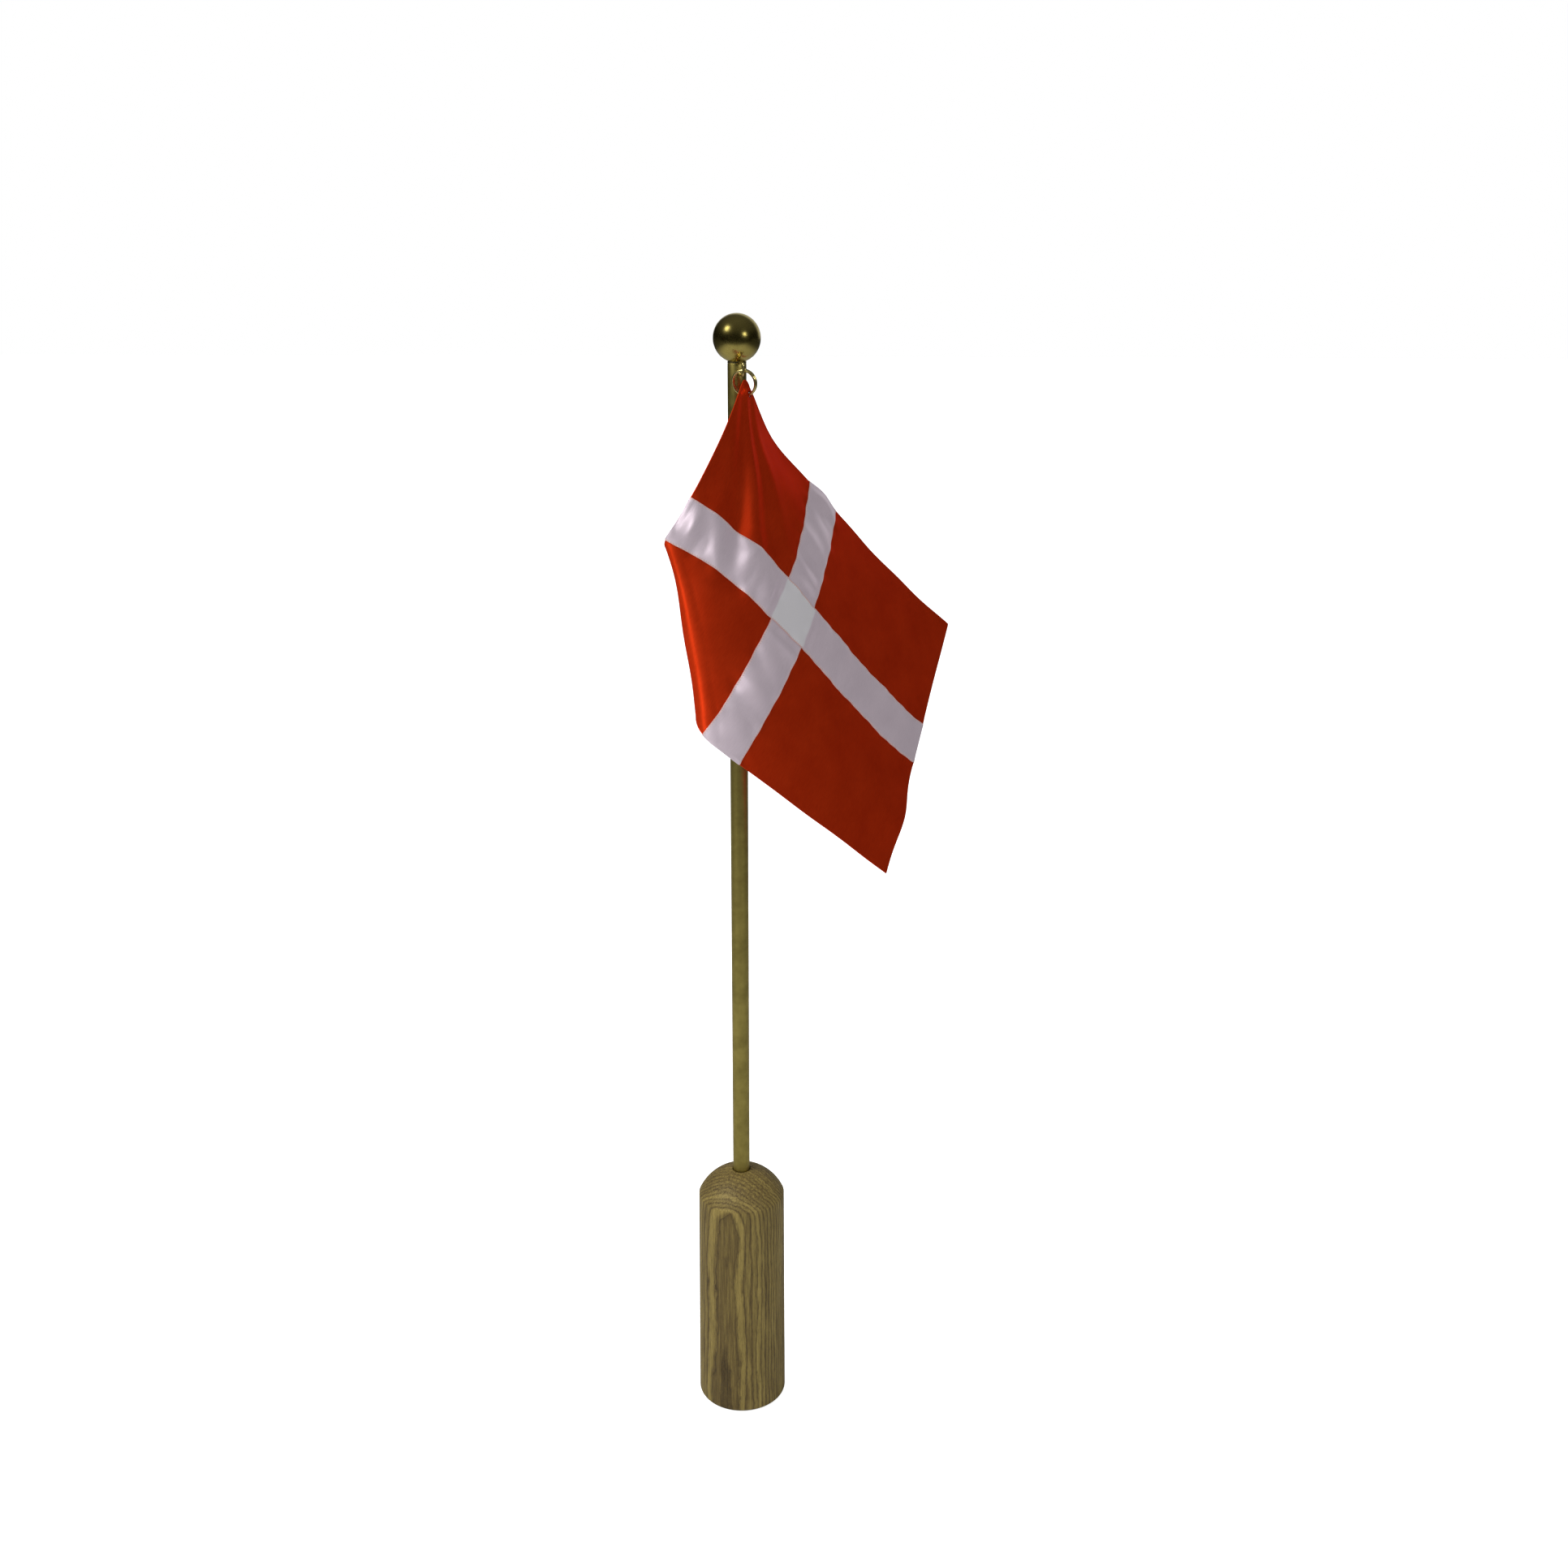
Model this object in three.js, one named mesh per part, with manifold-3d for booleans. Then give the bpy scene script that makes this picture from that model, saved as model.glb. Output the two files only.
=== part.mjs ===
// A table flag on its stand: a turned oak base, a brass pole with a ball on top, and a satin flag that
// hangs by one corner from a split ring. Millimetres, +Z up, origin at the centre of the underside.

import * as THREE from 'three';
import { mergeVertices } from 'three/addons/utils/BufferGeometryUtils.js';
import Module from 'manifold-3d';

const wasm = await Module();
wasm.setup();

// ---------------------------------------------------------------- driving dimensions

const POLE_DIAMETER = 6;
const POLE_TOP = 376.2;              // height of the pole's upper end
const BALL_DIAMETER = 15;
const GAP = 0.05;                    // between pieces that only touch
const RUNNING_GAP = 0.1;             // between pieces that turn in one another

const base = {
  footRadius: 16.1,
  shoulderRadius: 15.5,
  shoulderHeight: 83.6,
  domeRadius: 17.1,                  // sphere that rounds the top
  domeCrown: 93.2,                   // height of the dome before it is drilled
  edgeRounding: 1.1,                 // round at the foot
  socketRadius: 3.2,                 // drilled for the pole, an easy slip fit
  socketFloor: 30,
};

const ballast = { radius: 10, height: 22 };

const screw = {
  headRadius: 3.6,
  headRim: 0.3,                      // straight edge of the countersunk head
  shankRadius: 1.7,
  pointLength: 2,
  pilotEnd: 1,                       // wood left between the pilot hole and the socket
};

const felt = { radius: 14.6, thickness: 1 };
const stud = { radius: 1.5, inPole: 7, inBall: 6 };
const POLE_CHAMFER = 0.5;

const hanger = {
  azimuth: -75,                      // degrees from +X: the way the loop points
  thickness: 0.7,                    // of the washer clamped under the ball
  wireRadius: 0.4,
  reach: 8.5,                        // pole axis to the outer leg
  loopBottom: 372.7,
  bend: 0.9,                         // radius of the loop's corners
  overlap: 0.8,                      // how far the arm runs into the washer
  upturn: 1.5,                       // height of the loop's inner end
};

const ring = {
  centre: new THREE.Vector3(2.5, -6.2, 370.6),
  coilRadius: 3.85,                  // to the middle of the wire
  wireRadius: 0.4,
  pitch: 0.86,                       // between the two coils
  lean: 29,                          // degrees the ring has slid round, seen from the front
  turn: 25,                          // degrees its right side comes forward
};

const flag = {
  hoist: 103,                        // edge next to the pole
  fly: 136,                          // the long edge
  thickness: 0.5,
  ribbon: 16,
  ribbonThickness: 0.25,
  ribbonGap: 0.15,                   // between the layers
  canton: 43.5,                      // hoist canton, both ways
  hole: { from: 2.4, to: 6.4 },      // opening in the corner for the ring
  cell: 4.4,                         // spacing of the facets
};

// How the flag hangs. The sheet is bent round straight fold lines that run down from the corner.
const drape = {
  corner: new THREE.Vector3(2.8, -7, 373),
  hoistToFold: 61,                   // degrees from the hoist edge to the fold lines, in the sheet
  foldLine: new THREE.Vector3(0.4, 0.11, -1).normalize(),
  headingAtFold: -12,                // degrees from +X, seen from above, along the turned-back edge
  headingAtFly: 58,
  turnLength: 88,                    // length over which the heading changes
  backRadius: 3,                     // round of the turned-back lower hoist corner
  backTurn: 165,                     // degrees that the corner is turned back
};

// ---------------------------------------------------------------- materials

const oak = () => new THREE.MeshStandardMaterial({ color: 0x8f7c52, roughness: 0.55, metalness: 0 });
const brass = (roughness) => new THREE.MeshStandardMaterial({ color: 0xa8935a, roughness, metalness: 1 });
const steel = () => new THREE.MeshStandardMaterial({ color: 0x8d9196, roughness: 0.45, metalness: 1 });
const feltCloth = () => new THREE.MeshStandardMaterial({ color: 0x2f4a36, roughness: 1, metalness: 0 });
const redSatin = () => new THREE.MeshStandardMaterial({ color: 0x8b1c0c, roughness: 0.4, metalness: 0 });
const whiteSatin = () => new THREE.MeshStandardMaterial({ color: 0xb3a8b0, roughness: 0.4, metalness: 0 });

// ---------------------------------------------------------------- helpers

const radians = THREE.MathUtils.degToRad;

function toSolid(geometry) {
  const bare = geometry.clone();
  bare.deleteAttribute('normal');
  bare.deleteAttribute('uv');
  const merged = mergeVertices(bare, 1e-4);
  return new wasm.Manifold(new wasm.Mesh({
    numProp: 3,
    vertProperties: new Float32Array(merged.attributes.position.array),
    triVerts: new Uint32Array(merged.index.array),
  }));
}

function toGeometry(solid) {
  const { vertProperties, triVerts } = solid.getMesh();
  const geometry = new THREE.BufferGeometry();
  geometry.setAttribute('position', new THREE.BufferAttribute(vertProperties, 3));
  geometry.setIndex(new THREE.BufferAttribute(triVerts, 1));
  return geometry;
}

// A round body about +Z from a profile of [radius, height] pairs that starts and ends on the axis.
function turned(profile, segments = 36) {
  const points = profile.map(([r, z]) => new THREE.Vector2(r, z));
  return new THREE.LatheGeometry(points, segments).rotateX(Math.PI / 2);
}

function rod(radius, bottom, top, segments = 36) {
  return turned([[0, bottom], [radius, bottom], [radius, top], [0, top]], segments);
}

// Points of an arc about (cx, cz), as [radius, height] pairs; angles in degrees.
function arc(cx, cz, radius, from, to, steps) {
  return Array.from({ length: steps + 1 }, (_, i) => {
    const angle = radians(from + (to - from) * i / steps);
    return [cx + radius * Math.cos(angle), cz + radius * Math.sin(angle)];
  });
}

function wire(path, radius, steps, sides = 10) {
  const section = new THREE.Shape(
    Array.from({ length: sides }, (_, i) => {
      const angle = 2 * Math.PI * i / sides;
      return new THREE.Vector2(radius * Math.cos(angle), radius * Math.sin(angle));
    }),
  );
  return new THREE.ExtrudeGeometry(section, { steps, bevelEnabled: false, extrudePath: path });
}

function piece(name, geometry, material) {
  const mesh = new THREE.Mesh(geometry, material);
  mesh.name = name;
  return mesh;
}

// ---------------------------------------------------------------- base

function oakBase() {
  const domeCentre = base.domeCrown - base.domeRadius;
  const shoulderAngle = THREE.MathUtils.radToDeg(Math.acos(base.shoulderRadius / base.domeRadius));
  const body = turned([
    [0, 0],
    ...arc(base.footRadius - base.edgeRounding, base.edgeRounding, base.edgeRounding, -90, 0, 3),
    [base.shoulderRadius, base.shoulderHeight],
    ...arc(0, domeCentre, base.domeRadius, shoulderAngle, 90, 8).slice(1, -1),
    [0, base.domeCrown],
  ], 54);
  const socket = rod(base.socketRadius, base.socketFloor, base.domeCrown + 1);
  const pocket = rod(ballast.radius + GAP, -1, felt.thickness + ballast.height + GAP);
  const feltRecess = rod(felt.radius + GAP, -1, felt.thickness + GAP);
  const pilot = rod(screw.shankRadius + GAP, 0, base.socketFloor - screw.pilotEnd, 16);
  const drilled = [socket, pocket, feltRecess, pilot].reduce(
    (solid, cutter) => solid.subtract(toSolid(cutter)),
    toSolid(body),
  );
  return piece('oak_base', toGeometry(drilled), oak());
}

function ballastSlug() {
  const bottom = felt.thickness + 2 * GAP;
  const top = felt.thickness + ballast.height;
  const slug = toSolid(rod(ballast.radius, bottom, top));
  const rim = bottom + screw.headRim + 4 * GAP;
  const countersink = turned([
    [0, bottom - 1],
    [screw.headRadius + GAP, bottom - 1],
    [screw.headRadius + GAP, rim],
    [screw.shankRadius + GAP, rim + screw.headRadius - screw.shankRadius],
    [screw.shankRadius + GAP, top + 1],
    [0, top + 1],
  ]);
  return piece('ballast_slug', toGeometry(slug.subtract(toSolid(countersink))), steel());
}

function ballastScrew() {
  const bottom = felt.thickness + 3 * GAP;
  const rim = bottom + screw.headRim;
  const point = base.socketFloor - 1.5 * screw.pilotEnd;
  const body = turned([
    [0, bottom],
    [screw.headRadius - GAP, bottom],
    [screw.headRadius - GAP, rim],
    [screw.shankRadius - GAP, rim + screw.headRadius - screw.shankRadius],
    [screw.shankRadius - GAP, point - screw.pointLength],
    [0, point],
  ]);
  return piece('ballast_screw', body, steel());
}

function feltPad() {
  return piece('felt_pad', rod(felt.radius, 0, felt.thickness), feltCloth());
}

// ---------------------------------------------------------------- pole and ball

function pole() {
  const radius = POLE_DIAMETER / 2;
  const bottom = base.socketFloor + GAP;
  const body = turned([
    [0, bottom],
    [radius - POLE_CHAMFER, bottom],
    [radius, bottom + POLE_CHAMFER],
    [radius, POLE_TOP],
    [0, POLE_TOP],
  ]);
  const tapping = rod(stud.radius + GAP, POLE_TOP - stud.inPole - GAP, POLE_TOP + 1, 24);
  return piece('pole', toGeometry(toSolid(body).subtract(toSolid(tapping))), brass(0.4));
}

// The ball is cut flat where it meets the washer, as wide as the pole.
function ballGeometry() {
  const radius = BALL_DIAMETER / 2;
  const seatAngle = THREE.MathUtils.radToDeg(Math.acos(POLE_DIAMETER / 2 / radius));
  const centre = ballSeat() + radius * Math.sin(radians(seatAngle));
  const body = turned([
    [0, ballSeat()],
    ...arc(0, centre, radius, -seatAngle, 90, 16).slice(0, -1),
    [0, centre + radius],
  ], 36);
  const tapping = rod(stud.radius + GAP, ballSeat() - 1, ballSeat() + stud.inBall + GAP, 24);
  return toGeometry(toSolid(body).subtract(toSolid(tapping)));
}

function ballSeat() {
  return POLE_TOP + hanger.thickness + 2 * GAP;
}

function finialBall() {
  return piece('finial_ball', ballGeometry(), brass(0.15));
}

function finialStud() {
  const bottom = POLE_TOP - stud.inPole;
  const top = ballSeat() + stud.inBall;
  return piece('finial_stud', rod(stud.radius, bottom, top, 24), brass(0.35));
}

// ---------------------------------------------------------------- hanger and split ring

// A washer clamped between pole and ball, with an arm that is bent down into a long closed loop.
function flagHanger() {
  const poleRadius = POLE_DIAMETER / 2;
  const ballRadius = BALL_DIAMETER / 2;
  const bottom = POLE_TOP + GAP;
  const washer = toSolid(rod(poleRadius, bottom, bottom + hanger.thickness));
  const eye = toSolid(rod(stud.radius + RUNNING_GAP, bottom - 1, bottom + 2, 24));
  const arm = toSolid(wire(hangerPath(bottom + hanger.thickness / 2), hanger.wireRadius, 40, 8));
  const clearOfPole = toSolid(rod(poleRadius + RUNNING_GAP, 0, bottom));
  const clearOfBall = toSolid(
    new THREE.SphereGeometry(ballRadius + RUNNING_GAP, 36, 20)
      .translate(0, 0, ballSeat() + Math.sqrt(ballRadius ** 2 - poleRadius ** 2)),
  );
  const solid = washer.add(arm.rotate([0, 0, hanger.azimuth]))
    .subtract(eye)
    .subtract(clearOfPole)
    .subtract(clearOfBall);
  return piece('flag_hanger', toGeometry(solid), brass(0.35));
}

// The arm's middle line in the XZ plane: out from the washer, down, and back up beside the pole.
function hangerPath(top) {
  const outer = hanger.reach;
  const inner = POLE_DIAMETER / 2 + 2 * hanger.wireRadius;
  const low = hanger.loopBottom + hanger.wireRadius;
  const { bend } = hanger;
  const points = [
    [POLE_DIAMETER / 2 - hanger.overlap, top],
    [outer - bend, top],
    [outer, top - bend],
    [outer, low + bend],
    [outer - bend, low],
    [inner + bend, low],
    [inner, low + bend],
    [inner, low + hanger.upturn],
  ];
  return new THREE.CatmullRomCurve3(points.map(([x, z]) => new THREE.Vector3(x, 0, z)), false, 'centripetal');
}

// Two coils of round wire, side by side, like a small key ring.
class SplitRingPath extends THREE.Curve {
  getPoint(t) {
    const turns = 2;
    const angle = 2 * Math.PI * turns * t - Math.PI / 2;
    const slide = (t - 0.5) * turns * ring.pitch;
    return new THREE.Vector3(
      ring.coilRadius * Math.cos(angle),
      slide,
      ring.coilRadius * Math.sin(angle),
    );
  }
}

function splitRing() {
  const mesh = piece('split_ring', wire(new SplitRingPath(), ring.wireRadius, 72, 6), brass(0.25));
  mesh.position.copy(ring.centre);
  mesh.rotation.set(0, radians(-ring.lean), radians(-ring.turn), 'YZX');
  return mesh;
}

// ---------------------------------------------------------------- flag

// Where a point of the flat sheet ends up. down and along are measured from the hung corner, down the
// hoist edge and along the top edge; lift is the distance in front of the middle of the sheet.
function hung(down, along, lift) {
  const folded = turnBack(down, along, lift);
  const angle = radians(drape.hoistToFold);
  const across = -folded.down * Math.sin(angle) + folded.along * Math.cos(angle);
  const below = folded.down * Math.cos(angle) + folded.along * Math.sin(angle);
  const section = crossSection(across);
  return drape.corner.clone()
    .addScaledVector(drapeAxes.right, section.x - folded.lift * section.sin)
    .addScaledVector(drapeAxes.back, section.y + folded.lift * section.cos)
    .addScaledVector(drape.foldLine, below);
}

// Axes square to the fold lines: right is nearly +X, back nearly +Y.
const drapeAxes = (() => {
  const right = new THREE.Vector3(1, 0, 0);
  right.addScaledVector(drape.foldLine, -right.dot(drape.foldLine)).normalize();
  const back = new THREE.Vector3().crossVectors(right, drape.foldLine);
  return { right, back };
})();

function heading(across) {
  const share = THREE.MathUtils.clamp(-across / drape.turnLength, 0, 1);
  return radians(drape.headingAtFly + (drape.headingAtFold - drape.headingAtFly) * share);
}

// The sheet's section square to the fold lines, measured along the sheet from the corner.
function crossSection(across) {
  const steps = 40;
  let x = 0;
  let y = 0;
  for (let i = 0; i < steps; i += 1) {
    const middle = heading(across * (i + 0.5) / steps);
    x += Math.cos(middle) * across / steps;
    y += Math.sin(middle) * across / steps;
  }
  const end = heading(across);
  return { x, y, sin: Math.sin(end), cos: Math.cos(end) };
}

// The lower hoist corner is turned back round a line across its canton, from edge to edge.
function turnBack(down, along, lift) {
  const start = flag.canton + flag.ribbon;
  const past = (down - start - along * (flag.hoist - start) / flag.canton)
    / Math.hypot(1, (flag.hoist - start) / flag.canton);
  if (past <= 0) return { down, along, lift: -lift };
  const slope = Math.atan2(flag.hoist - start, flag.canton);
  const outward = { down: Math.cos(slope), along: -Math.sin(slope) };
  const full = radians(drape.backTurn);
  const angle = Math.min(past / drape.backRadius, full);
  const straight = Math.max(0, past - full * drape.backRadius);
  const inner = drape.backRadius + lift;
  const reach = inner * Math.sin(angle) + straight * Math.cos(angle);
  const behind = drape.backRadius - inner * Math.cos(angle) + straight * Math.sin(angle);
  return {
    down: down + outward.down * (reach - past),
    along: along + outward.along * (reach - past),
    lift: behind,
  };
}

// Evenly spaced stations from start to end that also include every stop in between.
function stations(start, end, stops, step = flag.cell) {
  const marks = [start, ...stops.filter((stop) => stop > start && stop < end), end];
  return marks.slice(1).flatMap((mark, i) => {
    const count = Math.ceil((mark - marks[i]) / step - 1e-6);
    return Array.from({ length: count }, (_, k) => marks[i] + (mark - marks[i]) * k / count);
  }).concat(end);
}

// A closed sheet between two lifts, with the cells where open(...) is true left out.
function sheet(downs, alongs, lowLift, highLift, open = () => false) {
  const positions = [];
  const corner = (i, j, lift) => hung(downs[i], alongs[j], lift).toArray();
  const quad = (a, b, c, d) => positions.push(...a, ...b, ...c, ...a, ...c, ...d);
  const solidAt = (i, j) => i >= 0 && j >= 0 && i < downs.length - 1 && j < alongs.length - 1
    && !open((downs[i] + downs[i + 1]) / 2, (alongs[j] + alongs[j + 1]) / 2);
  const wall = (i0, j0, i1, j1) => quad(
    corner(i0, j0, highLift), corner(i0, j0, lowLift), corner(i1, j1, lowLift), corner(i1, j1, highLift),
  );
  for (let i = 0; i < downs.length - 1; i += 1) {
    for (let j = 0; j < alongs.length - 1; j += 1) {
      if (solidAt(i, j)) {
        const face = (lift) => [
          corner(i, j, lift), corner(i + 1, j, lift), corner(i + 1, j + 1, lift), corner(i, j + 1, lift),
        ];
        quad(...face(highLift));
        quad(...face(lowLift).reverse());
        if (!solidAt(i, j - 1)) wall(i, j, i + 1, j);
        if (!solidAt(i + 1, j)) wall(i + 1, j, i + 1, j + 1);
        if (!solidAt(i, j + 1)) wall(i + 1, j + 1, i, j + 1);
        if (!solidAt(i - 1, j)) wall(i, j + 1, i, j);
      }
    }
  }
  const geometry = new THREE.BufferGeometry();
  geometry.setAttribute('position', new THREE.Float32BufferAttribute(positions, 3));
  return mergeVertices(geometry, 1e-4);
}

function flagPieces() {
  const ribbonEdges = [flag.canton, flag.canton + flag.ribbon];
  const holeEdges = [flag.hole.from, flag.hole.to];
  const downs = stations(0, flag.hoist, [...holeEdges, ...ribbonEdges]);
  const alongs = stations(0, flag.fly, [...holeEdges, ...ribbonEdges]);
  const inRibbon = (list) => list.filter((s) => s >= ribbonEdges[0] - 1e-6 && s <= ribbonEdges[1] + 1e-6);
  const inHole = (s) => s > flag.hole.from && s < flag.hole.to;
  const half = flag.thickness / 2;
  const first = [half + flag.ribbonGap, half + flag.ribbonGap + flag.ribbonThickness];
  const second = first.map((lift) => lift + flag.ribbonThickness + flag.ribbonGap);
  const back = ([low, high]) => [-high, -low];
  return [
    piece('flag_field', sheet(downs, alongs, -half, half, (a, b) => inHole(a) && inHole(b)), redSatin()),
    piece('short_ribbon_front', sheet(downs, inRibbon(alongs), ...first), whiteSatin()),
    piece('long_ribbon_front', sheet(inRibbon(downs), alongs, ...second), whiteSatin()),
    piece('short_ribbon_back', sheet(downs, inRibbon(alongs), ...back(first)), whiteSatin()),
    piece('long_ribbon_back', sheet(inRibbon(downs), alongs, ...back(second)), whiteSatin()),
  ];
}

// ---------------------------------------------------------------- assembly

const stand = new THREE.Group();
stand.add(oakBase(), ballastSlug(), ballastScrew(), feltPad());
stand.add(pole(), finialBall(), finialStud(), flagHanger(), splitRing());
stand.add(...flagPieces());

export default stand;
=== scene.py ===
import math

import bpy
import numpy as np
from mathutils import Matrix, Vector


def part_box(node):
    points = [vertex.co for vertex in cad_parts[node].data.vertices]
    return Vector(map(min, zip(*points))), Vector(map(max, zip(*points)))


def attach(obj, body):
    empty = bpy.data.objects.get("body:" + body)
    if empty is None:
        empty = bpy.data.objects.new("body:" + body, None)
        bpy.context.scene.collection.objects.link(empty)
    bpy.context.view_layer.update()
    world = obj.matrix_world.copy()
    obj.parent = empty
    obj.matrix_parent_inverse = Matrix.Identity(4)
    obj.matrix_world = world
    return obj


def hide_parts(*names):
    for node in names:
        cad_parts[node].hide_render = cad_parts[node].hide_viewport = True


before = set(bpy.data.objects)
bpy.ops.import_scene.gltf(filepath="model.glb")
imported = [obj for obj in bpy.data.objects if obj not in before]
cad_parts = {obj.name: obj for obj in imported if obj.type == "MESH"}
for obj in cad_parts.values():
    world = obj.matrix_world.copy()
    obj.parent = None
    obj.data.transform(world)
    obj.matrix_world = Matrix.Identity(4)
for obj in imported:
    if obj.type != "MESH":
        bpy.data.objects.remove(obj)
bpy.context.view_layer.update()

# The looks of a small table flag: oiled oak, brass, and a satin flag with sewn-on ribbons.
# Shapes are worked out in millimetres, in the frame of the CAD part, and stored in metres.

MM = 0.001


def box_mm(node):
    """Lowest and highest corners of a CAD node, in millimetres."""
    low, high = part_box(node)
    return np.array(low) / MM, np.array(high) / MM


# ------------------------------------------------------------------ sizes, from the frame

BASE_HIGH = box_mm("oak_base")[1]
POLE_LOW, POLE_HIGH = box_mm("pole")
BALL_LOW, BALL_HIGH = box_mm("finial_ball")
STUD_LOW, STUD_HIGH = box_mm("finial_stud")
SLUG_HIGH = box_mm("ballast_slug")[1]
SCREW_HIGH = box_mm("ballast_screw")[1]
FELT_HIGH = box_mm("felt_pad")[1]
HANGER_LOW = box_mm("flag_hanger")[0]
RING_LOW, RING_HIGH = box_mm("split_ring")

FOOT_RADIUS = BASE_HIGH[0]
POLE_RADIUS = POLE_HIGH[0]
BALL_RADIUS = BALL_HIGH[0]

# ------------------------------------------------------------------ small helpers


def unit(vectors):
    """Vectors scaled to length one, along the last axis."""
    vectors = np.asarray(vectors, float)
    return vectors / np.maximum(np.linalg.norm(vectors, axis=-1, keepdims=True), 1e-12)


def add_piece(name, points, faces, material, body, replaces=(), uv=None, sharp=None):
    """A mesh piece from points in millimetres, riding on a body.

    uv holds named maps, each with a pair for each point. sharp is the angle above which an edge is hard.
    """
    mesh = bpy.data.meshes.new(name)
    mesh.from_pydata((np.asarray(points) * MM).tolist(), [], [tuple(map(int, f)) for f in faces])
    mesh.polygons.foreach_set("use_smooth", [True] * len(mesh.polygons))
    corner_points = np.empty(len(mesh.loops), int)
    mesh.loops.foreach_get("vertex_index", corner_points)
    for key, pairs in (uv or {}).items():
        layer = mesh.uv_layers.new(name=key)
        layer.data.foreach_set("uv", np.asarray(pairs, float)[corner_points].ravel())
    if sharp is not None:
        mesh.set_sharp_from_angle(angle=math.radians(sharp))
    mesh.materials.append(material)
    mesh.update()
    piece = bpy.data.objects.new(name, mesh)
    bpy.context.scene.collection.objects.link(piece)
    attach(piece, body)
    if replaces:
        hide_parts(*replaces)
    return piece


def arc(centre_r, centre_z, radius, start, end, steps):
    """Points of an arc as (radius, height) pairs; angles in degrees."""
    angles = np.radians(np.linspace(start, end, steps + 1))
    return [(centre_r + radius * math.cos(t), centre_z + radius * math.sin(t)) for t in angles]


def lathe(profile, segments):
    """Points and faces of a solid turned about Z, from a profile that starts and ends on the axis."""
    inner = profile[1:-1]
    turns = np.arange(segments) * 2 * np.pi / segments
    rings = [np.c_[r * np.cos(turns), r * np.sin(turns), np.full(segments, z)] for r, z in inner]
    points = np.vstack([[(0, 0, profile[0][1])], *rings, [(0, 0, profile[-1][1])]])
    last = len(points) - 1
    faces = []
    for i in range(segments):
        j = (i + 1) % segments
        faces.append((0, 1 + j, 1 + i))
        for k in range(len(inner) - 1):
            low, high = 1 + k * segments, 1 + (k + 1) * segments
            faces.append((low + i, low + j, high + j, high + i))
        top = 1 + (len(inner) - 1) * segments
        faces.append((top + i, top + j, last))
    return points, faces


def tube(path, radius, sides):
    """Points and faces of a round wire along a path, with rounded ends."""
    path = np.asarray(path, float)
    along = unit(np.gradient(path, axis=0))
    side = unit(np.cross(along[0], [0.31, 0.22, 0.92]))
    frames = []
    for tangent in along:
        side = unit(side - tangent * np.dot(side, tangent))
        frames.append((side, np.cross(tangent, side)))
    turns = np.arange(sides) * 2 * np.pi / sides
    rings = []

    def ring(centre, i, r):
        u, v = frames[i]
        rings.append(centre + r * (np.outer(np.cos(turns), u) + np.outer(np.sin(turns), v)))

    cap_angles = np.radians([80, 55, 28])
    for t in cap_angles:
        ring(path[0] - along[0] * radius * math.sin(t), 0, radius * math.cos(t))
    for i, centre in enumerate(path):
        ring(centre, i, radius)
    for t in cap_angles[::-1]:
        ring(path[-1] + along[-1] * radius * math.sin(t), len(path) - 1, radius * math.cos(t))
    start = path[0] - along[0] * radius
    end = path[-1] + along[-1] * radius
    points = np.vstack([[start], *rings, [end]])
    last = len(points) - 1
    faces = []
    for i in range(sides):
        j = (i + 1) % sides
        faces.append((0, 1 + j, 1 + i))
        for k in range(len(rings) - 1):
            low, high = 1 + k * sides, 1 + (k + 1) * sides
            faces.append((low + i, low + j, high + j, high + i))
        top = 1 + (len(rings) - 1) * sides
        faces.append((top + i, top + j, last))
    return points, faces


# ------------------------------------------------------------------ materials


class Shader:
    """A node material under construction."""

    def __init__(self, name):
        self.material = bpy.data.materials.new(name)
        self.material.use_nodes = True
        self.nodes = self.material.node_tree.nodes
        self.links = self.material.node_tree.links
        self.surface = self.nodes["Principled BSDF"]

    def node(self, kind, inputs=None, **settings):
        made = self.nodes.new("ShaderNode" + kind)
        for key, value in settings.items():
            setattr(made, key, value)
        for key, value in (inputs or {}).items():
            self.plug(made, key, value)
        return made

    def plug(self, node, key, value):
        """Links a socket, or sets a plain value, on an input."""
        if isinstance(value, bpy.types.NodeSocket):
            self.links.new(value, node.inputs[key])
        else:
            node.inputs[key].default_value = value

    def set(self, **inputs):
        for key, value in inputs.items():
            self.plug(self.surface, key.replace("_", " "), value)

    def millimetres(self, scale=(1, 1, 1)):
        """Object coordinates in millimetres, stretched by scale."""
        place = self.node("TexCoord")
        return self.node(
            "Mapping", {"Vector": place.outputs["Object"], "Scale": [s / MM for s in scale]}
        ).outputs["Vector"]

    def cloth(self, scale=(1, 1, 1)):
        """Flat cloth coordinates in millimetres (along the fly, down the hoist)."""
        place = self.node("UVMap", uv_map="cloth")
        return self.node("Mapping", {"Vector": place.outputs["UV"], "Scale": scale}).outputs["Vector"]

    def noise(self, vector, scale, detail=3, roughness=0.5):
        values = {"Vector": vector, "Scale": scale, "Detail": detail, "Roughness": roughness}
        return self.node("TexNoise", values).outputs["Fac"]

    def math(self, operation, a, b=0.0):
        return self.node("Math", {0: a, 1: b}, operation=operation).outputs[0]

    def ramp(self, fac, stops):
        made = self.node("ValToRGB", {"Fac": fac})
        elements = made.color_ramp.elements
        while len(elements) < len(stops):
            elements.new(1.0)
        for element, (place, colour) in zip(elements, stops):
            element.position = place
            element.color = colour if len(colour) == 4 else (*colour, 1)
        return made.outputs["Color"]

    def mix(self, fac, a, b, blend="MIX"):
        made = self.node("Mix", data_type="RGBA", blend_type=blend)
        self.plug(made, 0, fac)
        self.plug(made, 6, a)
        self.plug(made, 7, b)
        return made.outputs[2]

    def bump(self, height, distance, strength=1.0, normal=None):
        values = {"Height": height, "Distance": distance * MM, "Strength": strength}
        if normal is not None:
            values["Normal"] = normal
        return self.node("Bump", values).outputs["Normal"]


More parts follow.
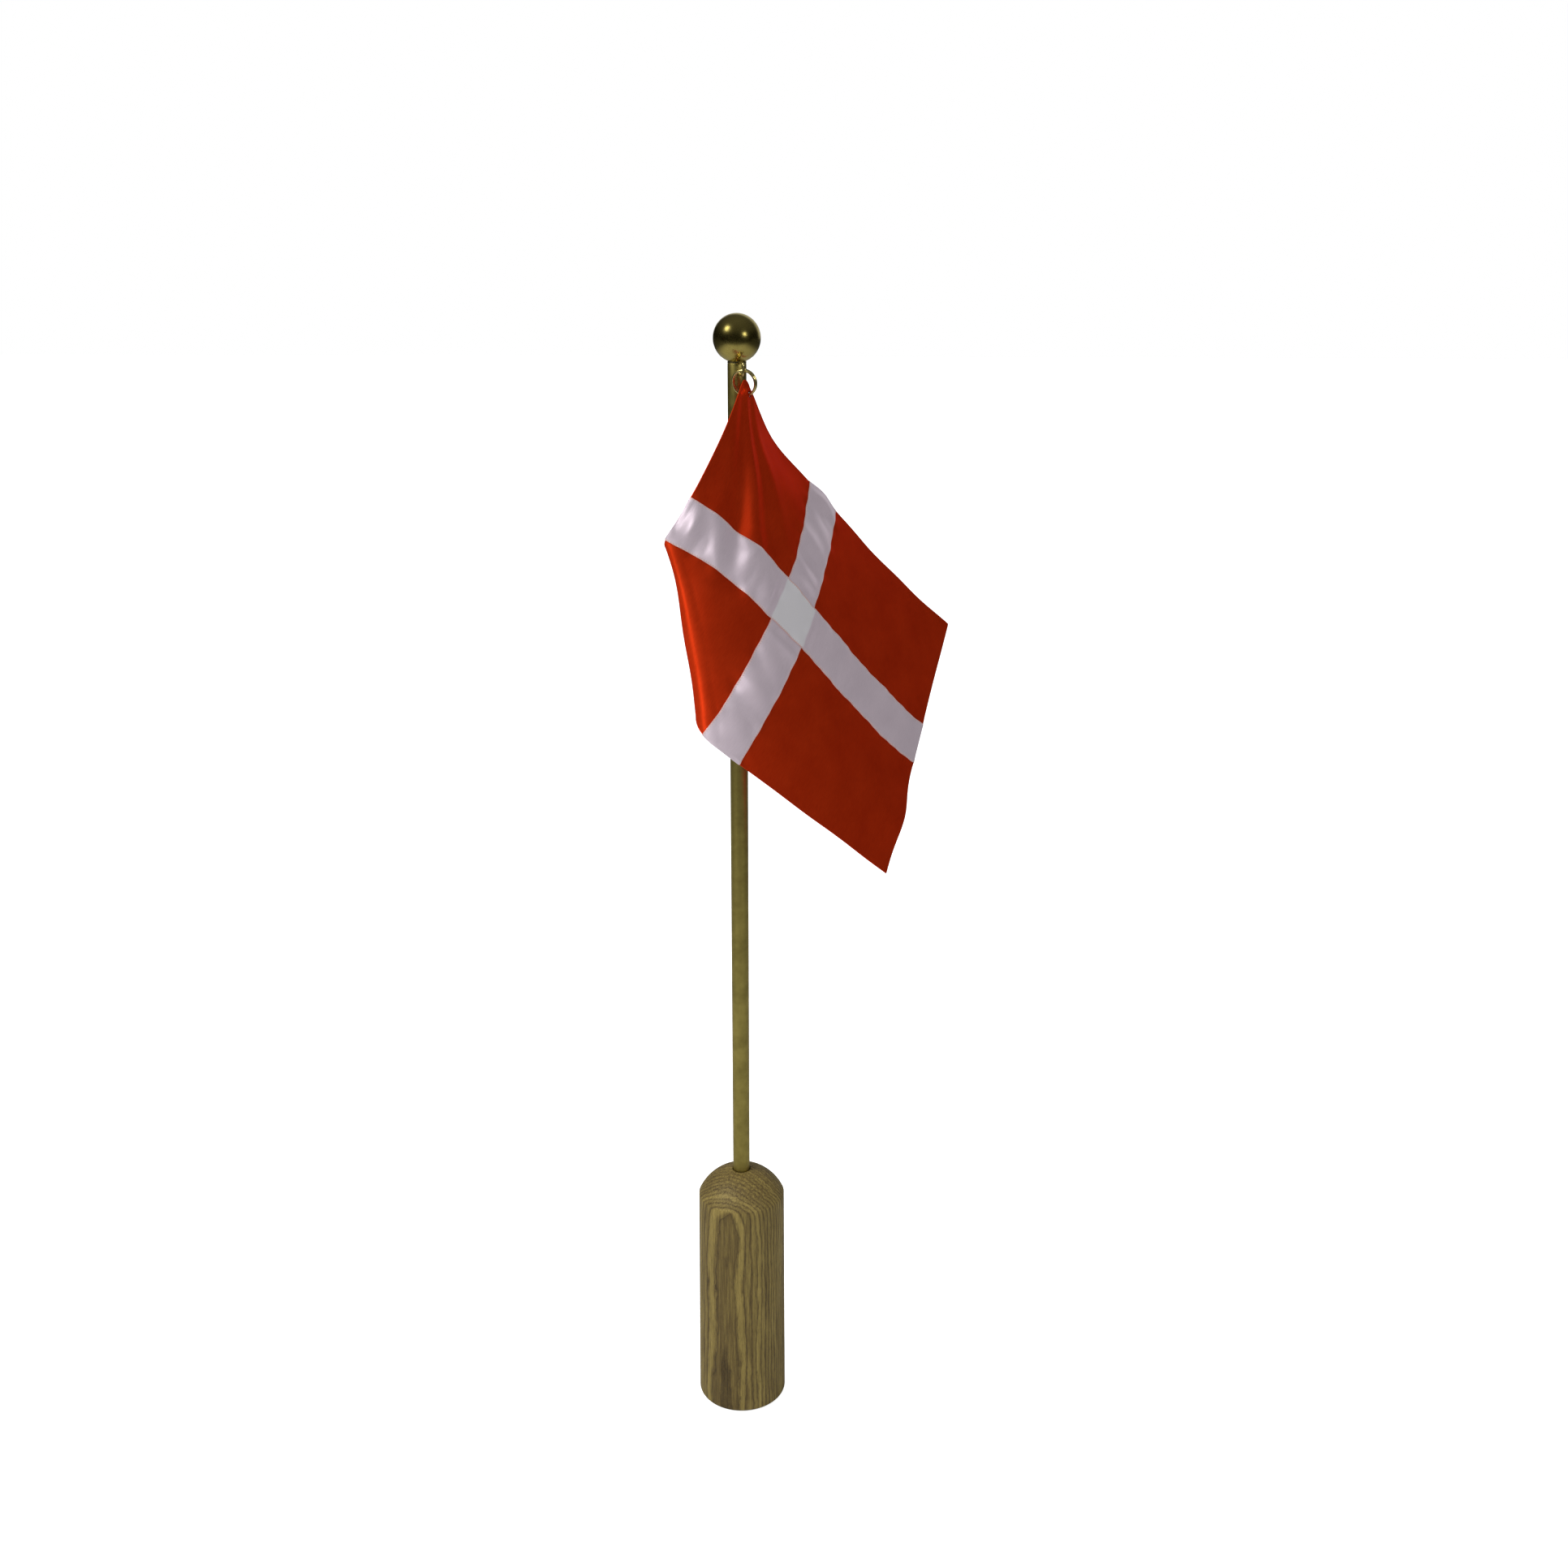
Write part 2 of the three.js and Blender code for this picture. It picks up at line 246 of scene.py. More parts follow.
def grey(value):
    return (value, value, value, 1)


def oak_material():
    """Oiled oak, flat sawn: the rings are nearly flat sheets, which the dome cuts into arches."""
    s = Shader("oiled_oak")
    face_angle = math.radians(-23)          # side of the base that lies flat to the rings
    ring_width = 1.4
    first_ring = 0.57                       # depth of the first dark line under the face
    face_distance = 15.6                    # from the pole's axis to the face
    lean_height = 82.0                      # where the rings begin to lean over
    end_grain_from, end_grain_full = 83.0, 89.0
    split = s.node("SeparateXYZ", {"Vector": s.millimetres()})
    x, y, z = (split.outputs[axis] for axis in "XYZ")
    toward_face = s.math(
        "SUBTRACT", s.math("MULTIPLY", x, math.sin(face_angle)), s.math("MULTIPLY", y, math.cos(face_angle)),
    )
    sideways = s.math(
        "ADD", s.math("MULTIPLY", x, math.cos(face_angle)), s.math("MULTIPLY", y, math.sin(face_angle)),
    )
    bow = s.math("MULTIPLY", s.math("MULTIPLY", sideways, sideways), 0.004)
    drift = s.math("MULTIPLY", s.math("SUBTRACT", s.noise(s.millimetres((1, 1, 0.25)), 0.13, 2), 0.5), 2.4)
    waver = s.math("MULTIPLY", s.math("SUBTRACT", s.noise(s.millimetres((1, 1, 0.4)), 0.45, 2), 0.5), 0.7)
    # The rings lean over near the top, which rounds the innermost arch.
    near_top = s.math("MINIMUM", s.math("DIVIDE", s.math("SUBTRACT", z, lean_height), 3.0), 1.6)
    lean = s.math("MULTIPLY", s.math("EXPONENT", near_top), 0.5)
    depth = s.math("ADD", s.math("SUBTRACT", face_distance, toward_face), s.math("ADD", drift, waver))
    depth = s.math("ADD", depth, s.math("ADD", bow, lean))
    rings = s.math("DIVIDE", s.math("ADD", depth, ring_width - first_ring), ring_width)
    phase = s.math("FRACT", rings)
    number = s.math("FLOOR", rings)
    each_ring = s.node("TexWhiteNoise", {"W": number}, noise_dimensions="1D").outputs["Value"]
    early = s.ramp(phase, [
        (0.0, grey(1.0)), (0.16, grey(0.75)), (0.34, grey(0.15)),
        (0.7, grey(0.1)), (0.92, grey(0.45)), (1.0, grey(1.0)),
    ])
    heart = s.math("LESS_THAN", rings, 1.0)
    fibres = s.noise(s.millimetres((1, 1, 0.03)), 2.4, 4, 0.7)
    pores = s.noise(s.millimetres((1, 1, 0.10)), 4.6, 2, 0.6)
    pits = s.ramp(pores, [(0.36, grey(1)), (0.47, grey(0))])
    pits = s.math("MULTIPLY", pits, s.math("ADD", s.math("MULTIPLY", early, 0.75), 0.3))
    patches = s.noise(s.millimetres((1, 1, 0.4)), 0.12, 2)
    # End grain on the dome is darker and speckled.
    rise = {"Value": z, "From Min": end_grain_from, "From Max": end_grain_full}
    end_grain = s.node("MapRange", rise).outputs["Result"]
    speckle = s.noise(s.millimetres(), 1.5, 3, 0.7)
    side_rings = s.math("MULTIPLY", early, s.math("SUBTRACT", 0.34, s.math("MULTIPLY", end_grain, 0.14)))
    streaks = s.math("ADD", s.math("MULTIPLY", s.math("SUBTRACT", fibres, 0.5), 1.15), 0.33)
    tone = s.math("ADD", side_rings, streaks)
    tone = s.math("ADD", tone, s.math("MULTIPLY", s.math("SUBTRACT", each_ring, 0.5), 0.18))
    tone = s.math("ADD", tone, s.math("MULTIPLY", s.math("SUBTRACT", patches, 0.5), 0.3))
    tone = s.math("ADD", tone, s.math("MULTIPLY", heart, 0.22))
    tone = s.math("ADD", tone, s.math("MULTIPLY", end_grain, s.math("SUBTRACT", speckle, 0.38)))
    colour = s.ramp(tone, [
        (0.10, (0.295, 0.220, 0.060)),
        (0.36, (0.205, 0.150, 0.038)),
        (0.62, (0.118, 0.080, 0.021)),
        (0.90, (0.060, 0.038, 0.010)),
    ])
    colour = s.mix(s.math("MULTIPLY", pits, 0.6), colour, (0.04, 0.026, 0.010, 1))
    s.set(Base_Color=colour, Specular_IOR_Level=0.3)
    s.set(Roughness=s.ramp(fibres, [(0.3, grey(0.52)), (0.7, grey(0.68))]))
    sunk = s.math("ADD", pits, s.math("MULTIPLY", early, 0.3))
    height = s.math("SUBTRACT", s.math("MULTIPLY", fibres, 0.5), sunk)
    s.set(Normal=s.bump(height, 0.12, 0.55))
    return s.material


def brass_material(name, colour, dark, roughness, drawn):
    """Brass with a thin tarnish in patches. drawn is how strong the lines along Z are."""
    s = Shader(name)
    patches = s.noise(s.millimetres(), 0.22, 5, 0.6)
    lines = s.noise(s.millimetres((1, 1, 0.01)), 7.0, 3, 0.7)
    specks = s.noise(s.millimetres(), 3.5, 3, 0.7)
    tarnish = s.ramp(patches, [(0.35, grey(0)), (0.75, grey(1))])
    s.set(Base_Color=s.mix(s.math("MULTIPLY", tarnish, 0.7), (*colour, 1), (*dark, 1)), Metallic=1.0)
    rough = s.math("ADD", roughness, s.math("MULTIPLY", tarnish, roughness * 0.5))
    rough = s.math("ADD", rough, s.math("MULTIPLY", s.math("SUBTRACT", lines, 0.5), drawn * 0.3))
    rough = s.math("ADD", rough, s.math("MULTIPLY", s.math("SUBTRACT", specks, 0.5), roughness * 0.4))
    s.set(Roughness=rough)
    height = s.math("ADD", s.math("MULTIPLY", lines, drawn), s.math("MULTIPLY", specks, 0.15))
    s.set(Normal=s.bump(height, 0.02, 0.35))
    return s.material


def satin_material(name, colour, deep, gleam, lustre, index, roughness, selvage=None, doubled=None):
    """Satin: long floating threads that shine across the warp, with a fine weave over them.

    lustre is the share that shines in the cloth's own colour, and gleam tints the rest of the shine.
    A ribbon also has a selvage colour at its long edges and a doubled colour over the other ribbon.
    """
    s = Shader(name)
    threads = s.noise(s.cloth((3.2, 0.35, 1)), 1.0, 3, 0.6)
    picks = s.node(
        "TexWave",
        {"Vector": s.cloth(), "Scale": 1.1, "Distortion": 1.2, "Detail": 2.0, "Detail Scale": 2.0},
        wave_type="BANDS", bands_direction="DIAGONAL",
    ).outputs["Fac"]
    slubs = s.noise(s.cloth((0.05, 1.1, 1)), 1.0, 2)
    cloudy = s.noise(s.cloth((0.08, 0.08, 1)), 1.0, 2)
    tone = s.math("ADD", s.math("MULTIPLY", threads, 0.5), s.math("MULTIPLY", cloudy, 0.5))
    body = s.mix(s.ramp(tone, [(0.3, grey(0)), (0.7, grey(1))]), (*deep, 1), (*colour, 1))
    if selvage:
        sewn = s.node("SeparateXYZ", {"Vector": s.node("UVMap", uv_map="edge").outputs["UV"]}).outputs
        body = s.mix(s.math("MULTIPLY", sewn["Y"], 0.8), body, (*doubled, 1))
        body = s.mix(s.ramp(sewn["X"], [(0.30, grey(1)), (0.55, grey(0))]), body, (*selvage, 1))
    s.set(Base_Color=body, Roughness=s.math("ADD", roughness - 0.05, s.math("MULTIPLY", threads, 0.1)))
    tangent = s.node("Tangent", direction_type="UV_MAP", uv_map="cloth").outputs["Tangent"]
    s.set(Metallic=lustre, IOR=index, Specular_Tint=(*gleam, 1))
    s.set(Anisotropic=0.55, Anisotropic_Rotation=0.375, Tangent=tangent)
    s.set(Sheen_Weight=0.06, Sheen_Roughness=0.3, Sheen_Tint=(*gleam, 1))
    weave = s.math("ADD", s.math("MULTIPLY", threads, 0.6), s.math("MULTIPLY", picks, 0.14))
    weave = s.math("ADD", weave, s.math("MULTIPLY", slubs, 0.35))
    s.set(Normal=s.bump(weave, 0.035, 0.5))
    return s.material


def thread_material(name, colour):
    """Sewing thread: a two-ply twist with a soft shine."""
    s = Shader(name)
    twist = s.noise(s.millimetres(), 6.0, 3, 0.6)
    s.set(Base_Color=s.mix(twist, (*[c * 0.7 for c in colour], 1), (*colour, 1)))
    s.set(Roughness=0.6, Specular_IOR_Level=0.3, Normal=s.bump(twist, 0.03, 0.6))
    return s.material


def felt_material():
    """Dark green felt, matted from short fibres."""
    s = Shader("green_felt")
    hairs = s.noise(s.millimetres(), 4.0, 8, 0.8)
    tufts = s.noise(s.millimetres(), 0.8, 4, 0.6)
    s.set(Base_Color=s.mix(hairs, (0.012, 0.03, 0.018, 1), (0.045, 0.09, 0.055, 1)), Roughness=0.95)
    s.set(Sheen_Weight=0.6, Sheen_Roughness=0.6)
    s.set(Normal=s.bump(s.math("ADD", hairs, s.math("MULTIPLY", tufts, 0.6)), 0.25, 0.9))
    return s.material


def steel_material():
    """Turned mild steel with tool marks and a trace of rust."""
    s = Shader("turned_steel")
    marks = s.noise(s.millimetres((0.03, 0.03, 1)), 6.0, 3, 0.6)
    stains = s.noise(s.millimetres(), 0.35, 5, 0.65)
    rust = s.ramp(stains, [(0.58, grey(0)), (0.75, grey(1))])
    s.set(Base_Color=s.mix(s.math("MULTIPLY", rust, 0.5), (0.42, 0.43, 0.45, 1), (0.2, 0.09, 0.04, 1)))
    s.set(Metallic=0.95, Roughness=s.math("ADD", 0.3, s.math("MULTIPLY", rust, 0.35)))
    s.set(Normal=s.bump(marks, 0.03, 0.5))
    return s.material


OAK = oak_material()
POLE_BRASS = brass_material("drawn_brass", (0.46, 0.375, 0.10), (0.27, 0.22, 0.06), 0.34, 0.5)
BALL_BRASS = brass_material("polished_brass", (0.56, 0.46, 0.13), (0.38, 0.30, 0.08), 0.21, 0.0)
# The ring and hanger take a lighter copy of the brass. This is painted light, so the thin wire looks lit
# although it mirrors a dim room.
WIRE_BRASS_PAINTED_LIGHT = brass_material("wire_brass", (0.76, 0.63, 0.25), (0.50, 0.40, 0.14), 0.24, 0.0)
RED_SATIN = satin_material(
    "red_satin", (0.68, 0.047, 0.0085), (0.53, 0.031, 0.0050), (1.0, 0.25, 0.03), 0.60, 1.06, 0.42,
)
WHITE_SATIN = satin_material(
    "ribbon_satin", (0.79, 0.675, 0.745), (0.69, 0.585, 0.655), (1.0, 0.93, 0.99), 0.45, 1.35, 0.40,
    selvage=(0.80, 0.55, 0.53), doubled=(0.93, 0.93, 0.95),
)
RIBBON_THREAD = thread_material("ribbon_thread", (0.68, 0.56, 0.57))
RED_THREAD = thread_material("red_thread", (0.26, 0.010, 0.003))
FELT = felt_material()
STEEL = steel_material()

# ------------------------------------------------------------------ base


def build_base():
    """The turned oak base: side, shoulder, dome, drilled socket, and the pocket under it."""
    shoulder_radius = 15.5
    shoulder_height = 83.6
    dome_radius = 17.1
    dome_crown = 93.2
    foot_round = 1.1
    socket_radius = 3.2
    socket_floor = POLE_LOW[2] - 0.05
    rim_round = 0.25
    gap = 0.05
    slug_radius = SLUG_HIGH[0] + gap
    felt_radius = FELT_HIGH[0] + gap
    screw_radius = 1.75
    dome_centre = dome_crown - dome_radius
    shoulder_angle = math.degrees(math.acos(shoulder_radius / dome_radius))
    rim_angle = math.degrees(math.acos((socket_radius + rim_round) / dome_radius))
    rim_top = dome_centre + dome_radius * math.sin(math.radians(rim_angle))
    profile = [
        (0, SCREW_HIGH[2] + 0.5),
        (screw_radius, SCREW_HIGH[2] + 0.5),
        (screw_radius, SLUG_HIGH[2] + gap),
        (slug_radius, SLUG_HIGH[2] + gap),
        (slug_radius, FELT_HIGH[2] + gap),
        (felt_radius, FELT_HIGH[2] + gap),
        (felt_radius, 0),
        *arc(FOOT_RADIUS - foot_round, foot_round, foot_round, -90, 0, 8),
    ]
    side_steps = 24
    for i in range(1, side_steps):
        share = i / side_steps
        radius = FOOT_RADIUS + (shoulder_radius - FOOT_RADIUS) * share
        profile.append((radius, foot_round + (shoulder_height - foot_round) * share))
    profile += arc(0, dome_centre, dome_radius, shoulder_angle, rim_angle, 40)
    profile += arc(socket_radius + rim_round, rim_top - rim_round, rim_round, 75, 180, 5)[1:]
    profile += [(socket_radius, socket_floor), (0, socket_floor)]
    points, faces = lathe(profile, 160)
    add_piece("turned_oak_base", points, faces, OAK, "base", ["oak_base"], sharp=38)


def finish_hidden_nodes():
    """Hidden pieces keep their CAD shape and take a finish."""
    for node, material in (("ballast_slug", STEEL), ("ballast_screw", STEEL), ("finial_stud", POLE_BRASS)):
        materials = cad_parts[node].data.materials
        materials.clear()
        materials.append(material)


def build_felt():
    """A die-cut felt disc with a slightly frayed, rounded edge."""
    radius, top = FELT_HIGH[0], FELT_HIGH[2]
    edge = 0.25
    profile = [
        (0, 0), (radius * 0.5, 0), (radius - edge, 0),
        *arc(radius - edge, edge, edge, -60, 0, 3),
        *arc(radius - edge, top - edge, edge, 0, 90, 4),
        (radius * 0.5, top), (0, top),
    ]
    points, faces = lathe(profile, 128)
    add_piece("felt_disc", points, faces, FELT, "base", ["felt_pad"], sharp=50)


# ------------------------------------------------------------------ pole and ball


def build_pole():
    """Drawn brass rod, chamfered at the foot and tapped at the top."""
    chamfer = 0.5
    edge = 0.12
    hole = STUD_HIGH[0] + 0.05
    bottom, top = POLE_LOW[2], POLE_HIGH[2]
    profile = [
        (0, bottom), (POLE_RADIUS - chamfer, bottom), (POLE_RADIUS, bottom + chamfer),
        *[(POLE_RADIUS, z) for z in np.linspace(bottom + 5, top - 5, 30)],
        *arc(POLE_RADIUS - edge, top - edge, edge, 0, 90, 4),
        (hole, top), (hole, STUD_LOW[2] - 0.05), (0, STUD_LOW[2] - 0.05),
    ]
    points, faces = lathe(profile, 72)
    add_piece("drawn_pole", points, faces, POLE_BRASS, "pole", ["pole"], sharp=40)


def build_ball():
    """The ball, cut flat at its seat and tapped for the stud."""
    seat, crown = BALL_LOW[2], BALL_HIGH[2]
    centre = crown - BALL_RADIUS
    seat_angle = -math.degrees(math.acos(POLE_RADIUS / BALL_RADIUS))
    hole = STUD_HIGH[0] + 0.05
    hole_top = STUD_HIGH[2] + 0.05
    profile = [
        (0, hole_top), (hole, hole_top), (hole, seat),
        *arc(0, centre, BALL_RADIUS, seat_angle, 90, 64)[:-1],
        (0, crown),
    ]
    points, faces = lathe(profile, 128)
    add_piece(
        "polished_ball", points, faces, BALL_BRASS, "finial", ["finial_ball"], sharp=40,
    )


# ------------------------------------------------------------------ hanger and split ring


def rounded_path(corners, bend, per_bend=8):
    """A path through corners in the XZ plane, each inner corner rounded by a quarter turn."""
    path = [np.array(corners[0], float)]
    for before, corner, after in zip(corners, corners[1:], corners[2:]):
        before, corner, after = (np.array(p, float) for p in (before, corner, after))
        start = corner + unit(before - corner) * bend
        end = corner + unit(after - corner) * bend
        centre = start + end - corner
        for t in np.linspace(0, math.pi / 2, per_bend):
            path.append(centre + (start - centre) * math.cos(t) + (end - centre) * math.sin(t))
    path.append(np.array(corners[-1], float))
    return np.array([(p[0], 0, p[1]) for p in path])


def build_hanger():
    """A washer under the ball and a wire arm from it, bent into a long loop."""
    wire = 0.4
    reach = 8.5
    azimuth = math.radians(-75)
    bend = 0.9
    upturn = 1.5
    overlap = 0.8
    washer_low, washer_high = POLE_HIGH[2] + 0.05, BALL_LOW[2] - 0.05
    top = (washer_low + washer_high) / 2
    low = HANGER_LOW[2] + wire
    inner = POLE_RADIUS + 2 * wire
    path = rounded_path(
        [(POLE_RADIUS - overlap, top), (reach, top), (reach, low), (inner, low), (inner, low + upturn)], bend,
    )
    turn = np.array([
        [math.cos(azimuth), -math.sin(azimuth), 0],
        [math.sin(azimuth), math.cos(azimuth), 0],
        [0, 0, 1],
    ])
    points, faces = tube(path @ turn.T, wire * 0.97, 20)
    flat = POLE_RADIUS + 0.4
    beside_pole = np.hypot(points[:, 0], points[:, 1]) < flat
    points[beside_pole, 2] = np.clip(points[beside_pole, 2], washer_low + 0.03, washer_high - 0.03)
    hole = STUD_HIGH[0] + 0.1
    edge = 0.1
    washer = [
        *arc(POLE_RADIUS - edge, washer_low + edge, edge, -90, 0, 3),
        *arc(POLE_RADIUS - edge, washer_high - edge, edge, 0, 90, 3),
        (hole, washer_high), (hole, washer_low),
    ]
    ring_points, ring_faces = turned_ring(washer, 64)
    faces = list(faces) + [tuple(len(points) + i for i in f) for f in ring_faces]
    points = np.vstack([points, ring_points])
    add_piece("bent_hanger", points, faces, WIRE_BRASS_PAINTED_LIGHT, "hanger", ["flag_hanger"], sharp=50)


def turned_ring(section, segments):
    """Points and faces of a ring turned about Z from a closed section."""
    turns = np.arange(segments) * 2 * np.pi / segments
    section = np.array(section)
    count = len(section)
    points = np.vstack([
        np.c_[section[:, 0] * math.cos(t), section[:, 0] * math.sin(t), section[:, 1]] for t in turns
    ])
    faces = []
    for i in range(segments):
        j = (i + 1) % segments
        for k in range(count):
            m = (k + 1) % count
            faces.append((i * count + k, j * count + k, j * count + m, i * count + m))
    return points, faces


RING_CENTRE = (RING_LOW + RING_HIGH) / 2
RING_RADIUS = 3.85
RING_WIRE = 0.4
RING_PITCH = 0.86
RING_TURNED = np.array(
    (Matrix.Rotation(math.radians(-29), 3, "Y") @ Matrix.Rotation(math.radians(-25), 3, "Z"))
)


def ring_path(steps):
    """Middle of the ring's wire: two coils side by side, with both ends at the bottom."""
    turns = np.linspace(0, 2, steps)
    angle = 2 * np.pi * turns - np.pi / 2
    path = np.c_[RING_RADIUS * np.cos(angle), (turns - 1) * RING_PITCH, RING_RADIUS * np.sin(angle)]
    return path @ RING_TURNED.T + RING_CENTRE


def build_ring():
    points, faces = tube(ring_path(241), RING_WIRE, 16)
    add_piece("coiled_split_ring", points, faces, WIRE_BRASS_PAINTED_LIGHT, "ring", ["split_ring"])


# ------------------------------------------------------------------ how the flag hangs

HOIST, FLY, CANTON, RIBBON = 103.0, 136.0, 43.5, 16.0
SEAM = CANTON + RIBBON
CLOTH = 0.24                                # thickness of the red satin
TAPE = 0.14                                 # thickness of a ribbon

# Where the corners of the sheet hang, in the part's frame. The lower hoist corner is turned back later.
# These four points are rounded results of a bent sheet that another program fitted to the photo. The
# sags and the belly were picked to follow the rest of that fit.
HUNG_CORNER = np.array([3.0, -7.0, 373.0])
FLY_CORNER = np.array([75.0, 62.0, 282.0])
HOIST_CORNER = np.array([-45.0, -47.0, 295.0])
LOW_CORNER = np.array([49.5, -6.5, 209.5])

# How far the middle of an edge hangs off the straight line between its corners. The fly edge is straight.
TOP_SAG = np.array([-2.4, 1.8, -5.4])
HOIST_SAG = np.array([4.6, -11.0, -1.6])
LOW_SAG = np.array([5.0, -7.2, -1.2])
BELLY = np.array([5.4, 2.0, 6.0])           # how far the canton swells out between its edges

# Soft pulls on the hung sheet: (down, along) where it is strongest, its spread both ways, and the move.
PULLS = [
    ((0, 24), (14, 18), (-2.3, 0, -1.8)),       # the top edge sags beside the hung corner
    ((0, 51), (10, 6), (0.9, 0, 0.6)),          # the short ribbon stands out at the top edge
    ((43.5, 33), (8, 7), (0.3, 0, 1.1)),        # the long ribbon's upper seam lifts
    ((59.5, 20), (8, 14), (0, 0, 1.0)),         # and its lower seam, nearer the hoist edge
    ((82, FLY), (11, 22), (2.1, 0, 0.5)),       # the fly edge bows out below the long ribbon
]

# The turned-back lower hoist corner, rolled round a cone: at the hoist edge and at the lower edge.
ROLL_RADIUS = (3.0, 5.0)
ROLL_START = (3.4, 5.6)                     # how far before the fold line the roll begins
ROLL_TURN = math.radians(160)


def smooth_sheet(down, along):
    """Points of the sheet's middle without folds or thickness: a patch between the four corners."""
    fall, run = (down / HOIST)[:, None], (along / FLY)[:, None]
    upper = (1 - run) * HUNG_CORNER + run * FLY_CORNER
    lower = (1 - run) * HOIST_CORNER + run * LOW_CORNER
    bow_down = 4 * fall * (1 - fall) * (1 - run)
    bow_along = 4 * run * (1 - run) * (1.3 - 0.6 * run)     # strongest on the hoist side of the middle
    points = (1 - fall) * (upper + bow_along * TOP_SAG) + fall * (lower + bow_along * LOW_SAG)
    points = points + bow_down * (HOIST_SAG + bow_along * BELLY)
    for (d, a), (spread_d, spread_a), move in PULLS:
        strength = np.exp(-(((down - d) / spread_d) ** 2) - ((along - a) / spread_a) ** 2)
        points = points + strength[:, None] * np.array(move)
    return points


def sheet_frame(down, along):
    """Points, and unit directions towards the fly, down the hoist and out of the front face."""
    step = 0.25
    points = smooth_sheet(down, along)
    to_fly = unit(smooth_sheet(down, along + step) - smooth_sheet(down, along - step))
    to_bottom = unit(smooth_sheet(down + step, along) - smooth_sheet(down - step, along))
    return points, to_fly, to_bottom, unit(np.cross(to_bottom, to_fly))


def smooth_step(low, high, x):
    t = np.clip((x - low) / (high - low), 0, 1)
    return t * t * (3 - 2 * t)


def between(x, low, high, blur):
    """One between low and high, falling to zero outside them over the width blur."""
    return smooth_step(low - blur, low, x) - smooth_step(high, high + blur, x)


def relief(down, along):
    """Height of the folds and puckers over the smooth sheet."""
    # Folds that fan out from above the hung corner. Angles are from the hoist edge, in degrees.
    first_fold, fold_spacing = 26.0, 14.5
    fan_middle, fan_width = 29.0, 12.0
    steepness = 0.020
    fan_down, fan_along = down + 14.0, along + 6.0
    angle = np.degrees(np.arctan2(fan_along, fan_down))
    reach = np.hypot(fan_down, fan_along)
    fan = np.sin(2 * np.pi * (angle - first_fold) / fold_spacing)
    fan = fan * np.exp(-(((angle - fan_middle) / fan_width) ** 2))
    fan = fan * steepness * reach * smooth_step(10, 30, reach) * (1 - smooth_step(60, 92, reach))
    # Slow waves over the whole cloth.
    waves = 0.35 * np.sin(down / 13.0 + 0.6 * np.sin(along / 21.0)) * np.sin(along / 17.0 + 0.9)
    waves = waves + 0.2 * np.sin((down + 1.7 * along) / 9.0 + 1.3)
    # Puckers where the ribbons are sewn down.
    puckers = 0
    for seam in (CANTON, SEAM):
        for distance, run in ((down - seam, along), (along - seam, down)):
            near = np.exp(-((distance / 2.2) ** 2))
            ripple = 0.10 * np.sin(run / 1.05 + seam) + 0.12 * np.sin(run / 2.3 + 2.0 * seam)
            puckers = puckers + near * ripple
    return fan + waves * smooth_step(4, 25, np.hypot(down, along)) + puckers


def turn_back(down, along, lift):
    """Rolls the lower hoist corner behind the flag, round a line across its canton."""
    slope = math.atan2(HOIST - SEAM, CANTON)
    share = smooth_step(0, 45, (down - SEAM) * math.sin(slope) + along * math.cos(slope))
    middle = ROLL_RADIUS[0] + (ROLL_RADIUS[1] - ROLL_RADIUS[0]) * share
    start = ROLL_START[0] + (ROLL_START[1] - ROLL_START[0]) * share
    past = (down - SEAM) * math.cos(slope) - along * math.sin(slope) + start
    past = (past + np.hypot(past, 2.0)) / 2
    turned = np.minimum(past / middle, ROLL_TURN)
    straight = np.maximum(past - middle * ROLL_TURN, 0)
    radius = middle + lift
    reach = radius * np.sin(turned) + straight * np.cos(turned)
    behind = middle - radius * np.cos(turned) + straight * np.sin(turned)
    shift = reach - past
    return down + shift * math.cos(slope), along - shift * math.sin(slope), -behind


def hung(down, along, lift):
    """Where points of the flat flag end up. Past an edge, the cloth goes round it."""
    down, along, lift = (np.asarray(v, float) for v in np.broadcast_arrays(down, along, lift))
    flat_down = np.clip(down, 0, HOIST)
    flat_along = np.clip(along, 0, FLY)
    past = np.hypot(down - flat_down, along - flat_along)
    outward_down = np.sign(down - flat_down)
    outward_along = np.sign(along - flat_along)
    height = np.abs(lift)
    wrap = np.clip(past / np.maximum(height, 1e-3), 0, np.pi / 2)
    down_in = flat_down + outward_down * height * np.sin(wrap)
    along_in = flat_along + outward_along * height * np.sin(wrap)
    # The hem blunts the hung corner.
    blunt = 0.8 * np.exp(-np.hypot(flat_down, flat_along) / 1.2)
    total = relief(flat_down, flat_along) + np.sign(lift) * height * np.cos(wrap)
    down_out, along_out, lift_out = turn_back(down_in + blunt, along_in + blunt, total)
    points, _, _, normal = sheet_frame(down_out, along_out)
    return points + normal * lift_out[:, None]


# ------------------------------------------------------------------ flag


def lines_between(start, end, step):
    return np.linspace(start, end, int(round((end - start) / step)) + 1)


